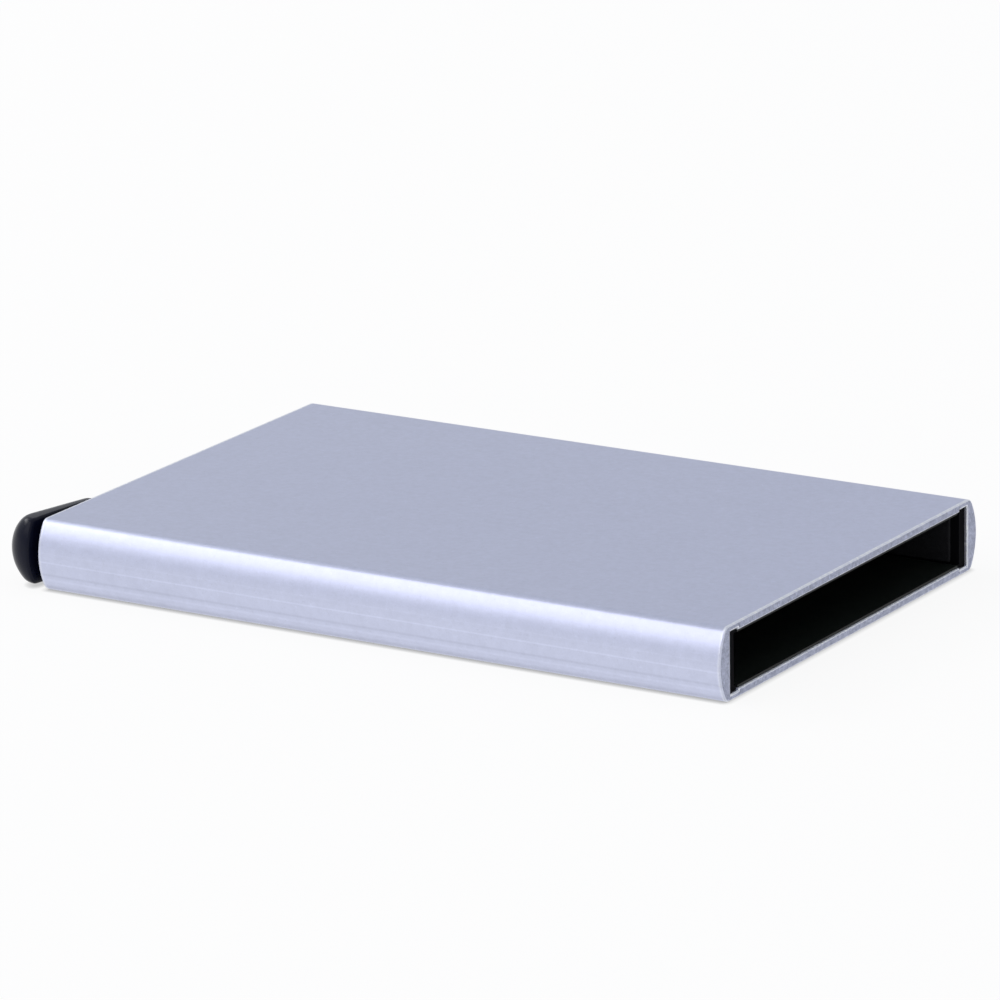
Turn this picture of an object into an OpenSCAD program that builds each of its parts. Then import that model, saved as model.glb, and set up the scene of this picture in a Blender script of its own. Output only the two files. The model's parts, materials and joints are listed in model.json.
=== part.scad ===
// Pop-up card holder: an extruded metal tube, open at one end, whose stepped lever fans the cards out.
// X runs from the lever end to the card mouth, Y from the lever's side to the far side, and Z up.
// The origin is the middle of the tube's underside. All lengths are in millimetres.

/* [Tube] */
// Length of the extruded tube
tube_l = 95; // [90:1:110]
// Width over the two rounded sides
tube_w = 63; // [62:0.5:70]
// Thickness over the two flat faces
tube_t = 9; // [8.5:0.1:12]
// Thickness of the flat faces
wall_t = 1; // [0.8:0.05:1.2]
// Thickness of a side wall at mid height
side_wall_t = 2.35; // [2.1:0.05:2.6]
// How far a side bulges beyond the line between its two edges
side_bulge = 1.53; // [1:0.05:1.8]
// Radius that breaks the edge between face and side
crease_r = 1.1; // [0.5:0.05:1.4]
// Width of the four grooves in the bore's corners
groove_w = 2; // [1.6:0.1:2.4]
// Depth of those grooves
groove_d = 0.25; // [0.1:0.05:0.4]
// Bevel on the cut ends, outside and inside
bevel = 0.2; // [0.05:0.05:0.3]

/* [Rails and liners] */
// Thickness of a guide rail's web
rail_t = 1.4; // [1:0.1:1.5]
// Thickness of the friction strip on a rail
strip_t = 0.6; // [0.4:0.05:0.7]
// Thickness of the liners on the flat faces
liner_t = 0.3; // [0.2:0.05:0.5]
// How far the rails end inside the mouth
rail_in = 0.4; // [0.3:0.1:2]
// How far the liners end inside the mouth
liner_in = 0.3; // [0.3:0.1:2]
// How far a friction strip ends short of its rail, at each end
strip_short = 1; // [0.5:0.5:6]

/* [End frame] */
// Depth from the tube's end to the seat of the cards
seat_x = 8.6; // [8.4:0.1:11]
// How far the frame sits inside the tube's end
frame_in = 0.15; // [0.05:0.05:0.3]
// Thickness of the frame's two cheeks
cheek_t = 0.5; // [0.4:0.05:0.6]
// Thickness of the near post that the lever rests on, along the tube
post_t = 3; // [2:0.1:3.2]
// Width of the near post
near_post_w = 4.1; // [3:0.1:5]
// Width of the far post
far_post_w = 5.1; // [3.5:0.1:7]

/* [Lever] */
// Depth of the pivot inside the tube's end
pivot_x = 4.6; // [4.4:0.1:5]
// Distance of the pivot from the bore's near wall
pivot_side = 10.65; // [9.5:0.05:11]
// Radius of the pivot pin
pin_r = 0.75; // [0.5:0.05:1]
// Radial play of the lever on its pin
pin_play = 0.05; // [0.02:0.01:0.08]
// Radius of the hub
hub_r = 2.9; // [2:0.1:3]
// Turn at which the pad meets the tube's end, in degrees
stop_angle = 28.5; // [24:0.5:32]
// Number of steps, one for each card
step_count = 6; // [4:1:7]
// Reach of the shortest step from the pivot
arm_short = 9.5; // [7:0.5:12]
// Width of the arm
arm_w = 5; // [4:0.1:5]
// Radius on the arm's pushing corners
toe_r = 1.2; // [0.6:0.1:2]
// How far the neck is let into the pad
neck_in = 1.5; // [0.8:0.1:1.8]
// Reach of the pad beyond the tube's end
pad_reach = 5.8; // [4.5:0.05:6.5]
// Slope of the pad's outer face, in degrees
pad_slope = 13.5; // [12:0.5:18]
// Radius of the pad's corner, seen from above
pad_corner_r = 4.1; // [3:0.1:4.1]
// Depth of the pad's rounded nose
nose_d = 3.4; // [2.4:0.05:3.6]
// Depth of the rounded nose on the lower tail of the pad
tail_nose_d = 1.4; // [0.8:0.1:1.8]
// Gap between pad and tube at the near corner
pad_gap_near = 1.4; // [1:0.05:1.7]
// Gap between pad and tube where the pad ends
pad_gap_far = 0.2; // [0.15:0.05:0.5]
// Width of the narrow top of the pad at its far end
pad_land = 0.2; // [0.1:0.05:0.4]
// How far the pad's top lies below the tube's top face
pad_over = 0.25; // [0.1:0.05:0.5]
// How far the pad's underside lies above the tube's underside
pad_under = 0.45; // [0.1:0.05:0.8]

/* [Clearances] */
// Fit of the inner parts in the bore
fit = 0.05; // [0.02:0.01:0.1]
// Gap between the lever and what it moves past
run_gap = 0.3; // [0.25:0.05:0.4]
// Gap above and below the lever
layer_gap = 0.2; // [0.15:0.05:0.3]
// Gap between parts that lie end to end
end_gap = 0.1; // [0.05:0.05:0.3]
// Gap beside the pad's tail, in the wall that closes the tube's end
slot_gap = 1.2; // [0.6:0.1:2]
// Gap between the tip of the longest step and the far post
tip_gap = 2.1; // [1.5:0.1:3]

/* [Hidden] */
$fn = 64;
over = 1;

// The tube's section: the side arcs, the edge radius and the bore
mid_z = tube_t / 2;
side_r = (mid_z * mid_z + side_bulge * side_bulge) / (2 * side_bulge);
arc_y = tube_w / 2 - side_r;
crease_y = arc_y + sqrt(pow(side_r - crease_r, 2) - pow(mid_z - crease_r, 2));
arc_top = (mid_z - crease_r) * side_r / (side_r - crease_r);
bore_w = tube_w - 2 * side_wall_t;
bore_h = tube_t - 2 * wall_t;
near_wall = -bore_w / 2;

// Heights of the lever's bore-high part and of its pad
arm_low = wall_t + max(cheek_t, liner_t) + layer_gap;
arm_high = tube_t - arm_low;
step_t = (arm_high - arm_low) / step_count;
pad_low = pad_under;
pad_high = tube_t - pad_over;

// Plan of the lever, with X counted from the tube's lever end
pivot_y = near_wall + pivot_side;
post_x = seat_x - post_t;
web_x = post_x - run_gap;
arm_front = seat_x - run_gap;
arm_back = arm_front - arm_w;
wall_in = arm_back - run_gap - end_gap;
arm_long = bore_w / 2 - far_post_w - tip_gap - pivot_y;
pad_centre = [pad_corner_r - pad_reach, pad_corner_r - tube_w / 2];
pad_touch = pad_centre + pad_corner_r * [-cos(pad_slope), sin(pad_slope)];
pad_end = pivot_y + ((pivot_x + pad_gap_far) * cos(stop_angle) - pivot_x) / sin(stop_angle);
tail_end = pad_touch[1] - (pad_touch[0] + pad_land) / tan(pad_slope);
slot_end = tail_end + slot_gap;
neck_y = near_wall + run_gap;

// Numbers of facets that follow the pad's curves
level_count = 20;
corner_count = 14;
tail_levels = 12;

// A share of a turn, eased at both ends
function ease(share) = share * share * (3 - 2 * share);
// How far the tube's side lies inside its widest line at height z
function side_in(z) = side_r - sqrt(side_r * side_r - pow(z - mid_z, 2));
// How far a nose of the given depth lies inside its foremost line, for an angle from -90 to 90
function nose_in(angle, depth) = depth * (1 - cos(angle));
// Place of the pad's outer face along X, for a place along Y
function face_x(y) = pad_touch[0] + (y - pad_touch[1]) * tan(pad_slope);

// Outline of the pad at one level of its nose
function pad_ring(angle) =
    let (z = (pad_low + pad_high) / 2 + sin(angle) * (pad_high - pad_low) / 2,
        side = side_in(z),
        nose = nose_in(angle, nose_d))
    concat(
        [[-pad_gap_near, side - tube_w / 2, z]],
        [for (i = [0:corner_count])
            let (share = i / corner_count,
                turn = 270 - share * (90 + pad_slope),
                r = pad_corner_r - side - (nose - side) * ease(share))
            [pad_centre[0] + r * cos(turn), pad_centre[1] + r * sin(turn), z]],
        [[min(face_x(pad_end) + nose / cos(pad_slope), -pad_gap_far - pad_land), pad_end, z],
            [-pad_gap_far, pad_end, z]]);

// Outline of the low tail at one level of its nose
function tail_ring(angle) =
    let (z = mid_z + sin(angle) * (arm_high - arm_low) / 2,
        inset = (pad_land + nose_in(angle, tail_nose_d)) / cos(pad_slope))
    [[arm_back, neck_y + pad_corner_r, z],
        [face_x(neck_y + pad_corner_r) + inset, neck_y + pad_corner_r, z],
        [face_x(tail_end) + inset, tail_end, z],
        [arm_back, tail_end, z]];

// Closed skin over rings that lie one above the other, each listed clockwise from above
module stacked_rings(rings) {
    levels = len(rings);
    count = len(rings[0]);
    points = [for (ring = rings) for (point = ring) point];
    bottom = [for (i = [count - 1:-1:0]) i];
    top = [for (i = [0:count - 1]) (levels - 1) * count + i];
    sides = [for (k = [0:levels - 2]) for (i = [0:count - 1]) for (half = [0, 1])
        let (j = (i + 1) % count, a = k * count, b = a + count)
        half == 0 ? [a + i, a + j, b + j] : [a + i, b + j, b + i]];
    polyhedron(points, concat([bottom, top], sides), convexity = 4);
}

// A box between two corners
module block(low, high) {
    translate(low) cube(high - low);
}

// Everything at the lever end is drawn with X counted from the tube's end
module from_lever_end() {
    translate([-tube_l / 2, 0, 0]) children();
}

// A section in Y and Z, drawn out along X
module along_x(x0, x1) {
    translate([x0, 0, 0]) rotate([90, 0, 90]) linear_extrude(x1 - x0) children();
}

module tube_outline() {
    translate([-crease_y, 0]) square([2 * crease_y, tube_t]);
    for (side = [-1, 1]) {
        intersection() {
            translate([side * arc_y, mid_z]) circle(side_r, $fn = 180);
            translate([-tube_w, mid_z - arc_top]) square([2 * tube_w, 2 * arc_top]);
            translate([side > 0 ? 0 : -tube_w, 0]) square([tube_w, tube_t]);
        }
        for (z = [crease_r, tube_t - crease_r])
            translate([side * crease_y, z]) circle(crease_r);
    }
}

module bore_outline() {
    translate([near_wall, wall_t]) square([bore_w, bore_h]);
    for (y = [near_wall, -near_wall - groove_w])
        translate([y, wall_t - groove_d]) square([groove_w, bore_h + 2 * groove_d]);
}

// A rectangle with its corners cut by the end bevel
module bevelled(length, width) {
    x = length / 2;
    y = width / 2;
    polygon([[-x, bevel - y], [bevel - x, -y], [x - bevel, -y], [x, bevel - y],
        [x, y - bevel], [x - bevel, y], [bevel - x, y], [-x, y - bevel]]);
}

// A trapezium that opens an edge of the bore towards the cut end
module opening_bevel(width) {
    x = tube_l / 2;
    y = width / 2;
    polygon([[x - bevel, -y], [x + bevel, -y - 2 * bevel], [x + bevel, y + 2 * bevel], [x - bevel, y]]);
}

module body_tube() {
    color("silver") difference() {
        intersection() {
            along_x(-tube_l / 2, tube_l / 2) tube_outline();
            translate([0, 0, -over]) linear_extrude(tube_t + 2 * over) bevelled(tube_l, tube_w);
            translate([0, tube_w, mid_z]) rotate([90, 0, 0])
                linear_extrude(2 * tube_w) bevelled(tube_l, tube_t);
        }
        along_x(-tube_l / 2 - over, tube_l / 2 + over) bore_outline();
        for (end = [0, 1]) mirror([end, 0, 0]) {
            translate([0, 0, wall_t]) linear_extrude(bore_h) opening_bevel(bore_w);
            translate([0, bore_w / 2, mid_z]) rotate([90, 0, 0])
                linear_extrude(bore_w) opening_bevel(bore_h);
        }
    }
}

// The cheek below the lever. The one above it is its mirror image.
module cheek() {
    low = wall_t + fit;
    block([frame_in, near_wall + fit, low], [seat_x, -near_wall - fit, wall_t + cheek_t]);
    for (side = [0, 1]) mirror([0, side, 0])
        block([frame_in, near_wall + fit, low - groove_d],
            [seat_x, near_wall + groove_w - fit, wall_t + cheek_t]);
}

module end_frame() {
    color("dimgray") from_lever_end() difference() {
        union() {
            cheek();
            translate([0, 0, tube_t]) mirror([0, 0, 1]) cheek();
            block([frame_in, slot_end, wall_t + fit],
                [wall_in, -near_wall - fit, tube_t - wall_t - fit]);
            block([frame_in, -near_wall - far_post_w, wall_t + fit],
                [seat_x, -near_wall - fit, tube_t - wall_t - fit]);
            block([post_x, near_wall + fit, wall_t + fit],
                [seat_x, near_wall + near_post_w, tube_t - wall_t - fit]);
        }
        translate([pivot_x, pivot_y, 0]) cylinder(h = tube_t, r = pin_r);
    }
}

module pivot_pin() {
    low = wall_t + fit;
    chamfer = pin_r / 3;
    length = bore_h - 2 * fit;
    color("gainsboro") from_lever_end() translate([pivot_x, pivot_y, low]) {
        cylinder(h = chamfer, r1 = pin_r - chamfer, r2 = pin_r);
        translate([0, 0, chamfer]) cylinder(h = length - 2 * chamfer, r = pin_r);
        translate([0, 0, length - chamfer]) cylinder(h = chamfer, r1 = pin_r, r2 = pin_r - chamfer);
    }
}

// Plan of the arm's part that reaches from the pivot to one step's toe
module arm_plan(reach) {
    tip = pivot_y + reach;
    translate([arm_back, pivot_y]) square([arm_w - toe_r, reach]);
    translate([arm_back, pivot_y]) square([arm_w, reach - toe_r]);
    translate([arm_front - toe_r, tip - toe_r]) circle(toe_r);
}

// The steps are stacked from the floor up, and each is shorter than the one below it
module stepped_arm() {
    for (i = [0:step_count - 1]) {
        reach = arm_long - i * (arm_long - arm_short) / (step_count - 1);
        translate([0, 0, arm_low]) linear_extrude((i + 1) * step_t) arm_plan(reach);
    }
}

module lever() {
    color("black") from_lever_end() difference() {
        union() {
            stacked_rings([for (k = [0:level_count]) pad_ring(-90 + 180 * k / level_count)]);
            stacked_rings([for (k = [0:tail_levels]) tail_ring(-90 + 180 * k / tail_levels)]);
            block([-pad_gap_near - neck_in, neck_y, arm_low], [web_x, pivot_y, arm_high]);
            translate([pivot_x, pivot_y, arm_low]) cylinder(h = arm_high - arm_low, r = hub_r);
            stepped_arm();
        }
        translate([pivot_x, pivot_y, 0]) cylinder(h = tube_t, r = pin_r + pin_play);
    }
}

// Section of the near rail: a web with a foot in each corner groove
module rail_section() {
    outer = near_wall + fit;
    foot_w = groove_w - 2 * fit;
    low = wall_t - groove_d + fit;
    translate([outer, low]) square([rail_t, tube_t - 2 * low]);
    for (z = [low, tube_t - wall_t - liner_t])
        translate([outer, z]) square([foot_w, wall_t + liner_t - low]);
}

module near_rail() {
    color("black") along_x(-tube_l / 2 + seat_x + end_gap, tube_l / 2 - rail_in) rail_section();
}

module guide_rail_near() {
    near_rail();
}

module guide_rail_far() {
    mirror([0, 1, 0]) near_rail();
}

module near_strip() {
    inner = near_wall + fit + rail_t;
    low = wall_t + liner_t + fit;
    color("dimgray") block([-tube_l / 2 + seat_x + end_gap + strip_short, inner, low],
        [tube_l / 2 - rail_in - strip_short, inner + strip_t, tube_t - low]);
}

module friction_strip_near() {
    near_strip();
}

module friction_strip_far() {
    mirror([0, 1, 0]) near_strip();
}

module bottom_liner() {
    edge = near_wall + groove_w + end_gap;
    color("dimgray") block([-tube_l / 2 + seat_x + end_gap, edge, wall_t],
        [tube_l / 2 - liner_in, -edge, wall_t + liner_t]);
}

module face_liner_bottom() {
    bottom_liner();
}

module face_liner_top() {
    translate([0, 0, tube_t]) mirror([0, 0, 1]) bottom_liner();
}

body_tube();
end_frame();
lever();
pivot_pin();
guide_rail_near();
guide_rail_far();
friction_strip_near();
friction_strip_far();
face_liner_top();
face_liner_bottom();
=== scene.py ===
# %% [markdown]
# # A pop-up card holder
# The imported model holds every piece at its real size, in metres: X runs from the lever end to the card
# mouth, Y from the lever's side to the far side, and Z up. This script adds what a model of sizes can't
# hold: the finish of each surface, the fine pieces that are seen close up, a camera and plain light.

# %% Load the frame
import json
import math

import bmesh
import bpy
from mathutils import Matrix, Vector


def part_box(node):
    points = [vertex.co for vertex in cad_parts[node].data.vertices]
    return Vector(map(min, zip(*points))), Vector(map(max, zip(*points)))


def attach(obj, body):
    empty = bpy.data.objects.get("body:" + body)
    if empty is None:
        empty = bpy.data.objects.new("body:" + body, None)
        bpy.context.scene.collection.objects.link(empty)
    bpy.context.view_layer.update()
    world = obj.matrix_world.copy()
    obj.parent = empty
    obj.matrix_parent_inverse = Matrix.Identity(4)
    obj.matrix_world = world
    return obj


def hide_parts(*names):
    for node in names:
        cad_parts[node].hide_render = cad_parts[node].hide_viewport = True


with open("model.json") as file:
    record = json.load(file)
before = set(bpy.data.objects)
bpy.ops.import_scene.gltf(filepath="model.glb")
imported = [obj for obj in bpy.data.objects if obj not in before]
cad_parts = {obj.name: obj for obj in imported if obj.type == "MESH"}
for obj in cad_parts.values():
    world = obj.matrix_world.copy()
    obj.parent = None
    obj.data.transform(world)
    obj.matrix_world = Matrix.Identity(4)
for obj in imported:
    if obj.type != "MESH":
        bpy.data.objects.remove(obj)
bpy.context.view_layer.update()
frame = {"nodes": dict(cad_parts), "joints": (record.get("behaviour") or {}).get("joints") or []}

NODES = frame["nodes"]
MM = 0.001


def in_mm(lengths):
    """Lengths of the frame in millimetres, to a thousandth."""
    return [round(v / MM, 3) for v in lengths]


TUBE_LOW, TUBE_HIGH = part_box("body_tube")
TUBE_L, TUBE_W, TUBE_T = in_mm(TUBE_HIGH - TUBE_LOW)
PIVOT = in_mm(frame["joints"][0]["pos_m"][:2])
print("tube, mm:", TUBE_L, TUBE_W, TUBE_T)
print("the lever's axis, mm:", PIVOT)

# %% [markdown]
# ## Node helpers
# A material is a small graph. These helpers add a node, join sockets and set plain values, so that each
# finish below reads as a list of what it is made of.

# %% Node helpers
def new_material(name):
    """An empty material with a Principled shader wired to its output."""
    material = bpy.data.materials.new(name)
    material.use_nodes = True
    tree = material.node_tree
    tree.nodes.clear()
    shader = tree.nodes.new("ShaderNodeBsdfPrincipled")
    output = tree.nodes.new("ShaderNodeOutputMaterial")
    tree.links.new(shader.outputs["BSDF"], output.inputs["Surface"])
    return material, tree, shader


def node(tree, kind, **settings):
    """A node with its properties and, by socket name, its plain input values."""
    made = tree.nodes.new(kind)
    for key, value in settings.items():
        if hasattr(made, key):
            setattr(made, key, value)
        else:
            made.inputs[key.replace("_", " ")].default_value = value
    return made


def place_of(tree, stretch=(1.0, 1.0, 1.0)):
    """The object's own coordinates in millimetres, so that a pattern's scale is a count per millimetre."""
    where = node(tree, "ShaderNodeTexCoord")
    mapping = node(tree, "ShaderNodeMapping")
    mapping.inputs["Scale"].default_value = [s / MM for s in stretch]
    tree.links.new(where.outputs["Object"], mapping.inputs["Vector"])
    return mapping.outputs["Vector"]


def noise(tree, vector, scale, detail=3.0, roughness=0.55):
    """Fine cloudy noise from 0 to 1."""
    made = node(tree, "ShaderNodeTexNoise", Scale=scale, Detail=detail, Roughness=roughness)
    tree.links.new(vector, made.inputs["Vector"])
    return made.outputs["Fac"]


def spread(tree, value, low, high, from_low=0.3, from_high=0.7):
    """Maps a value, such as a noise, to a range of numbers, such as a roughness."""
    made = node(tree, "ShaderNodeMapRange")
    made.inputs["From Min"].default_value = from_low
    made.inputs["From Max"].default_value = from_high
    made.inputs["To Min"].default_value = low
    made.inputs["To Max"].default_value = high
    tree.links.new(value, made.inputs["Value"])
    return made.outputs["Result"]


def blend(tree, share, low, high):
    """A colour that runs from low to high with the share, where each is a socket or a plain colour."""
    made = node(tree, "ShaderNodeMix", data_type="RGBA")
    for name, colour in (("A", low), ("B", high)):
        if isinstance(colour, tuple):
            made.inputs[name].default_value = (*colour, 1.0)
        else:
            tree.links.new(colour, made.inputs[name])
    tree.links.new(share, made.inputs["Factor"])
    return made.outputs["Result"]


def calc(tree, operation, first, second=0.0):
    """One sum on a socket and a number, or on two sockets."""
    made = node(tree, "ShaderNodeMath", operation=operation)
    tree.links.new(first, made.inputs[0])
    if isinstance(second, float):
        made.inputs[1].default_value = second
    else:
        tree.links.new(second, made.inputs[1])
    return made.outputs[0]


def bump(tree, height, depth, after=None):
    """Relief of the given depth, in millimetres, on top of another relief."""
    made = node(tree, "ShaderNodeBump", Strength=1.0, Distance=depth * MM)
    tree.links.new(height, made.inputs["Height"])
    if after is not None:
        tree.links.new(after, made.inputs["Normal"])
    return made.outputs["Normal"]

# %% [markdown]
# ## Camera
# The view is a long lens from the front right: the lever's corner lies at the left edge of the frame and
# the mouth at the right. The camera stands far off, so the tube's long edges stay almost parallel.

# %% Camera
CAMERA_PLACE = Vector((422.41, -687.02, 243.25)) * MM
RIGHT = Vector((0.853691, 0.520490, -0.017372))
DOWN = Vector((0.130343, -0.245843, -0.960506))
AHEAD = Vector((-0.504205, 0.817711, -0.277716))
SENSOR = 36.0
FOCAL_PIXELS = 6932.8
FRAME_PIXELS = 1000.0
SHIFT_PIXELS = 1.2
CLIP_NEAR, CLIP_FAR = 0.05, 20.0


def make_camera():
    """A camera whose axes are given as directions in the model's frame."""
    data = bpy.data.cameras.new("view")
    data.sensor_width = SENSOR
    data.lens = FOCAL_PIXELS / FRAME_PIXELS * SENSOR
    data.shift_x = SHIFT_PIXELS / FRAME_PIXELS
    data.clip_start = CLIP_NEAR
    data.clip_end = CLIP_FAR
    camera = bpy.data.objects.new("view", data)
    bpy.context.scene.collection.objects.link(camera)
    turn = Matrix((RIGHT, -DOWN, -AHEAD)).transposed()
    camera.matrix_world = Matrix.Translation(CAMERA_PLACE) @ turn.to_4x4()
    bpy.context.scene.camera = camera
    print("lens, mm:", round(data.lens, 1))


make_camera()

# %% [markdown]
# ## Anodised aluminium
# The tube is extruded metal with a blasted and clear anodised skin. Its colour is even and slightly blue.
# What tells it apart from grey paint is a metal's reflection, softened by a fine even grain, with faint
# relief lines drawn out along its length where the die left them. On the rounded sides, the light and shade
# that die lines catch are painted into the colour as thin lighter and darker lines. The cut ends are sawn
# and coarser, and are painted darker as shade. A wheel has broken their rims, and a painted highlight runs
# along them and along the bore's edge. A colour could be painted on with an image, but masks that follow
# the tube's own sizes keep each finish and each painted mark in its place on every side.

# %% Tube finish: lines and masks
WALL_T, SIDE_WALL_T = 1.0, 2.35
MID_Z = TUBE_T / 2
BORE_Y = TUBE_W / 2 - SIDE_WALL_T
# Painted light and shade of die lines on the rounded sides: height and width in mm, and how far each
# lightens the metal, where a minus darkens it
DIE_LINE_LIGHT_AND_SHADE = ((3.95, 0.16, 0.10), (2.3, 0.25, -0.10), (1.6, 0.3, 0.07), (0.5, 0.5, -0.16),
             (5.1, 0.12, 0.03), (4.75, 0.1, -0.02))
# Inwards from the tube's ends, in mm: where the painted rim highlight, the bevel and the sawn cut begin and
# are full
RIM_HIGHLIGHT, BEVEL, CUT = (0.48, 0.32), (0.22, 0.19), (0.02, 0.005)
# Outwards from the bore's sides, in mm: where the painted die-line light and shade grow, and where the
# painted highlights on the rims and along the bore's edge fade
LINES_GROW, RIM_HIGHLIGHT_FADES, BORE_EDGE_FADES = (0.15, 0.75), (0.45, 1.25), (0.15, 0.35)
# Below the flat faces, in mm: how high and how low the painted highlight along the bore's edge reaches
BORE_EDGE_ENDS = (0.85, 0.75)
# What is left of the painted rim highlight on the rounded sides, and of the sawn tone under the painted
# highlight along the bore's edge
SIDE_RIM_HIGHLIGHT, SAWN_LEFT_UNDER_BORE_HIGHLIGHT = 0.35, 0.6


def paint_die_line_light(tree, across, height):
    """A factor near 1 that paints the light and shade of thin die lines along both rounded sides."""
    total = None
    for centre, width, gain in DIE_LINE_LIGHT_AND_SHADE:
        away = calc(tree, "ABSOLUTE", calc(tree, "SUBTRACT", height, centre))
        line = spread(tree, away, gain, 0.0, 0.0, width)
        total = line if total is None else calc(tree, "ADD", total, line)
    on_side = spread(tree, across, 0.0, 1.0, *(BORE_Y + d for d in LINES_GROW))
    return calc(tree, "ADD", calc(tree, "MULTIPLY", total, on_side), 1.0)


def rim_masks(tree, along, across, height):
    """How far a point lies in the painted rim highlight, on the bevels and on the sawn cuts, from 0 to 1;
    along the bore's edge a painted highlight takes part of the sawn tone away.
    """
    rim, bevel, cut = (spread(tree, along, 0.0, 1.0, *(TUBE_L / 2 - d for d in reach))
                       for reach in (RIM_HIGHLIGHT, BEVEL, CUT))
    fade = spread(tree, across, 1.0, SIDE_RIM_HIGHLIGHT, *(BORE_Y + d for d in RIM_HIGHLIGHT_FADES))
    by_side = spread(tree, across, 1.0, 0.0, *(BORE_Y + d for d in BORE_EDGE_FADES))
    level = calc(tree, "ABSOLUTE", calc(tree, "SUBTRACT", height, MID_Z))
    in_bore = spread(tree, level, 1.0, 0.0, *(MID_Z - d for d in BORE_EDGE_ENDS))
    # A painted highlight along the bore's edge: the sawn tone is weaker there
    bore_highlight = calc(tree, "MULTIPLY", by_side, in_bore)
    sawn = spread(tree, bore_highlight, 1.0, SAWN_LEFT_UNDER_BORE_HIGHLIGHT, 0.0, 1.0)
    return calc(tree, "MULTIPLY", rim, fade), bevel, calc(tree, "MULTIPLY", cut, sawn)


print("die lines on each rounded side:", len(DIE_LINE_LIGHT_AND_SHADE))

# %% Tube finish: the metal
SKIN_TONES = (0.598, 0.630, 0.795), (0.610, 0.642, 0.807)
# The sawn ends: a coarser finish, also painted darker than the skin as shade
SAWN_AND_SHADE_TONES = (0.28, 0.30, 0.40), (0.50, 0.53, 0.68)
# Tones of the painted highlight along the rims of the cut ends
RIM_HIGHLIGHT_TONES = (0.74, 0.77, 0.90), (0.96, 0.98, 1.00)
# How far grain, mottling, patches and specks change the skin's tone
GRAIN_TONE, MOTTLE_TONE, PATCH_TONE, SPECK_TONE = 0.035, 0.030, 0.012, 0.05
# The noise values between which dark specks fade, light specks grow and torn metal shows
DARK_SPECKS, LIGHT_SPECKS, TORN = (0.27, 0.35), (0.65, 0.73), (0.38, 0.62)
SKIN_ROUGHNESS = (0.34, 0.46)
# Relief of the grain, the mottling, the drawn lines and the torn bevels, in mm
GRAIN_DEPTH, MOTTLE_DEPTH, DRAWN_DEPTH, TORN_DEPTH = 0.004, 0.009, 0.002, 0.05


def times(tree, colour, factor):
    """A colour made lighter or darker by a factor near 1."""
    made = node(tree, "ShaderNodeVectorMath", operation="SCALE")
    tree.links.new(colour, made.inputs[0])
    tree.links.new(factor, made.inputs["Scale"])
    return made.outputs[0]


def skin_colour(tree, vector, grain, mottle):
    """The blasted skin: one even tone with grain, mottling, patches and specks."""
    cloud = noise(tree, vector, scale=0.05, detail=2.0)
    patches = noise(tree, vector, scale=0.4, detail=2.0)
    specks = noise(tree, vector, scale=2.4, detail=2.0, roughness=0.5)
    skin = blend(tree, cloud, *SKIN_TONES)
    for pattern, change in ((grain, GRAIN_TONE), (mottle, MOTTLE_TONE), (patches, PATCH_TONE)):
        skin = times(tree, skin, spread(tree, pattern, 1.0 - change, 1.0 + change))
    skin = times(tree, skin, spread(tree, specks, 1.0 - SPECK_TONE, 1.0, *DARK_SPECKS))
    return times(tree, skin, spread(tree, specks, 1.0, 1.0 + SPECK_TONE, *LIGHT_SPECKS))


def tube_metal():
    """Blasted, clear anodised aluminium, with painted light and shade along die lines, a painted highlight
    on the end rims and along the bore's edge, and sawn ends painted darker as shade.
    """
    material, tree, shader = new_material("anodised_aluminium")
    vector = place_of(tree)
    apart = node(tree, "ShaderNodeSeparateXYZ")
    tree.links.new(vector, apart.inputs[0])
    along = calc(tree, "ABSOLUTE", apart.outputs["X"])
    across = calc(tree, "ABSOLUTE", apart.outputs["Y"])
    height = apart.outputs["Z"]
    grain = noise(tree, vector, scale=5.0, detail=4.0, roughness=0.75)
    mottle = noise(tree, vector, scale=1.1, detail=3.0, roughness=0.6)
    drawn = noise(tree, place_of(tree, stretch=(0.01, 1.0, 1.0)), scale=3.0, detail=4.0, roughness=0.6)
    chips = noise(tree, vector, scale=2.2, detail=5.0, roughness=0.8)
    torn = spread(tree, chips, 0.0, 1.0, *TORN)
    rim, bevel, cut = rim_masks(tree, along, across, height)

    # Painted light and shade of the die lines, in the skin's colour
    skin = times(tree, skin_colour(tree, vector, grain, mottle), paint_die_line_light(tree, across, height))
    # A painted highlight along the rims of the cut ends
    with_rim_highlight = blend(tree, rim, skin, blend(tree, torn, *RIM_HIGHLIGHT_TONES))
    # Sawn ends, painted darker as shade
    colour = blend(tree, cut, with_rim_highlight, blend(tree, torn, *SAWN_AND_SHADE_TONES))
    tree.links.new(colour, shader.inputs["Base Color"])
    shader.inputs["Metallic"].default_value = 1.0
    tree.links.new(spread(tree, grain, *SKIN_ROUGHNESS), shader.inputs["Roughness"])
    relief = bump(tree, grain, GRAIN_DEPTH)
    relief = bump(tree, mottle, MOTTLE_DEPTH, relief)
    relief = bump(tree, drawn, DRAWN_DEPTH, relief)
    relief = bump(tree, calc(tree, "MULTIPLY", torn, bevel), TORN_DEPTH, relief)
    tree.links.new(relief, shader.inputs["Normal"])
    print(material.name, "nodes:", len(tree.nodes))
    return material


TUBE_METAL = tube_metal()

# %% [markdown]
# ## Moulded black plastic, felt and steel
# Frame and rails are matt; the lever's pad is polished by fingers and shines softly. Black plastic is never
# quite black: its colour sits just above it, and its shape is read from the sheen on its curves. One
# function makes all four plastics, because they differ only in tone, polish and grain. Felt scatters the
# light in its pile and steel mirrors it, so each of those is a graph of its own.

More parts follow.
